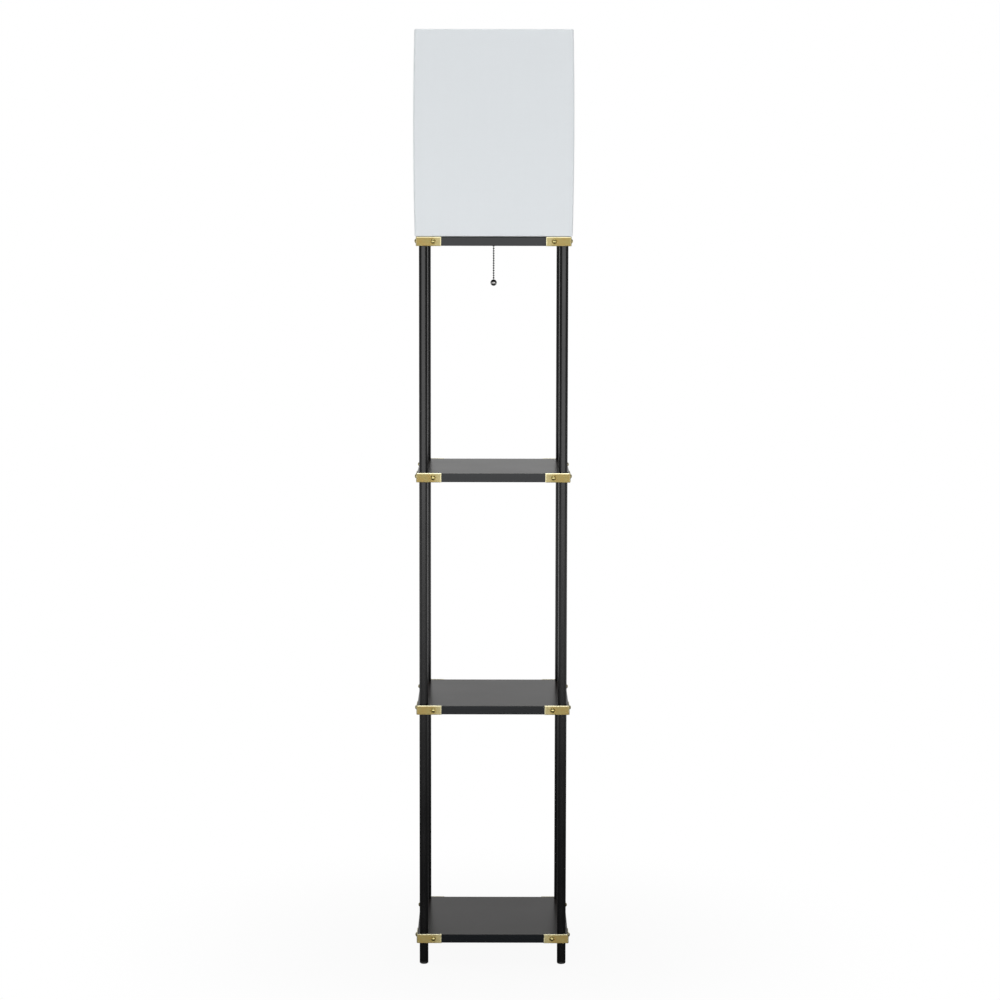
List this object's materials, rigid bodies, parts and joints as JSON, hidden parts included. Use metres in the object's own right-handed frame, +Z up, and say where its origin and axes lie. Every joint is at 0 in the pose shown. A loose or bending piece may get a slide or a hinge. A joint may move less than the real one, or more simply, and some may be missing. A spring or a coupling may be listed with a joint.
{
  "type": "shelf floor lamp",
  "caption": "Tall square floor lamp with black shelves on round posts, brass corner brackets, a white fabric shade on top and a pull chain.",
  "frame": {"origin": "on the floor, under the middle of the lamp", "axes": "+Z up, the front faces -Y, +X to the right seen from the front"},
  "size_m": [0.27, 0.27, 1.6],
  "materials": {
    "black_board": "satin black lacquered fibreboard",
    "black_tube": "satin black powder coat on steel tube",
    "brass_plate": "satin brass plate, bevelled edges",
    "brass_rivet": "polished brass plate",
    "zinc_steel": "zinc plated",
    "black_glide": "moulded black plastic",
    "shade_fabric": "cool white plain weave on a white liner",
    "white_wire": "white enamelled wire",
    "black_moulding": "moulded black phenolic",
    "white_ceramic": "white porcelain",
    "brass_contact": "bright stamped brass",
    "bulb_white": "white moulded plastic",
    "bulb_opal": "opal diffuser, unlit",
    "bulb_nickel": "nickel plated",
    "chain_black": "black nickel plated",
    "ball_black": "glossy black",
    "grommet_rubber": "black rubber",
    "lead_insulation": "black insulation"
  },
  "bodies": {
    "lamp_frame": {"bottom_shelf": "black_board", "bottom_shelf_brackets": "brass_plate", "bracket_rivets": "brass_rivet", "cord_grommet": "grommet_rubber", "deck_bolts": "zinc_steel", "deck_nuts": "zinc_steel", "deck_washers": "zinc_steel", "foot_front_left": "black_tube", "foot_front_right": "black_tube", "foot_glides": "black_glide", "foot_rear_left": "black_tube", "foot_rear_right": "black_tube", "holder_cap": "black_moulding", "holder_centre_contact": "brass_contact", "holder_insulator": "white_ceramic", "holder_nipple": "zinc_steel", "holder_screw_shell": "brass_contact", "holder_shell": "black_moulding", "joint_studs": "zinc_steel", "lamp_deck": "black_board", "lamp_deck_brackets": "brass_plate", "lower_post_front_left": "black_tube", "lower_post_front_right": "black_tube", "lower_post_rear_left": "black_tube", "lower_post_rear_right": "black_tube", "middle_post_front_left": "black_tube", "middle_post_front_right": "black_tube", "middle_post_rear_left": "black_tube", "middle_post_rear_right": "black_tube", "middle_shelf": "black_board", "middle_shelf_brackets": "brass_plate", "post_inserts": "zinc_steel", "shade_bottom_ring": "white_wire", "shade_cover": "shade_fabric", "shade_ring_nut": "black_moulding", "shade_spider": "white_wire", "shade_struts": "white_wire", "shade_top_ring": "white_wire", "switch_housing": "black_moulding", "switch_leads": "lead_insulation", "switch_rotor": "bulb_white", "switch_spring": "zinc_steel", "switch_stem": "zinc_steel", "upper_post_front_left": "black_tube", "upper_post_front_right": "black_tube", "upper_post_rear_left": "black_tube", "upper_post_rear_right": "black_tube", "upper_shelf": "black_board", "upper_shelf_brackets": "brass_plate"},
    "bulb_lift": {"bulb_tip_contact": "bulb_nickel"},
    "bulb": {"bulb_cap_insulator": "black_moulding", "bulb_cap": "bulb_nickel", "bulb_housing": "bulb_white", "bulb_globe": "bulb_opal"},
    "switch_pull": {"switch_plunger": "bulb_white", "chain_anchor": "chain_black"},
    "chain_swivel": {"chain_swivel_bead": "chain_black"},
    "hanging_chain": {"pull_chain": "chain_black", "pull_ball": "ball_black"}
  },
  "joints": [
    {"name": "chain_pull", "type": "slide", "parent": "lamp_frame", "child": "switch_pull", "axis": [0, 0, -1], "range_m": [0, 0.01], "stiffness_N_per_m": 600, "springref_m": -0.004, "deforming": ["switch_spring"]},
    {"name": "chain_swing_fore_aft", "type": "hinge", "parent": "switch_pull", "child": "chain_swivel", "pos_m": [0, -0.045, 1.237], "axis": [1, 0, 0], "range_deg": [-70, 70]},
    {"name": "chain_swing_sideways", "type": "hinge", "parent": "chain_swivel", "child": "hanging_chain", "pos_m": [0, -0.045, 1.237], "axis": [0, 1, 0], "range_deg": [-70, 70]},
    {"name": "bulb_rise", "type": "slide", "parent": "lamp_frame", "child": "bulb_lift", "axis": [0, 0, 1], "range_m": [0, 0.01452]},
    {"name": "bulb_unscrew", "type": "hinge", "parent": "bulb_lift", "child": "bulb", "pos_m": [0, 0, 1.3], "axis": [0, 0, 1], "range_deg": [0, 1440]}
  ],
  "couplings": [
    {"joint": "bulb_rise", "follows": "bulb_unscrew", "m_per_rad": 0.00057757}
  ]
}
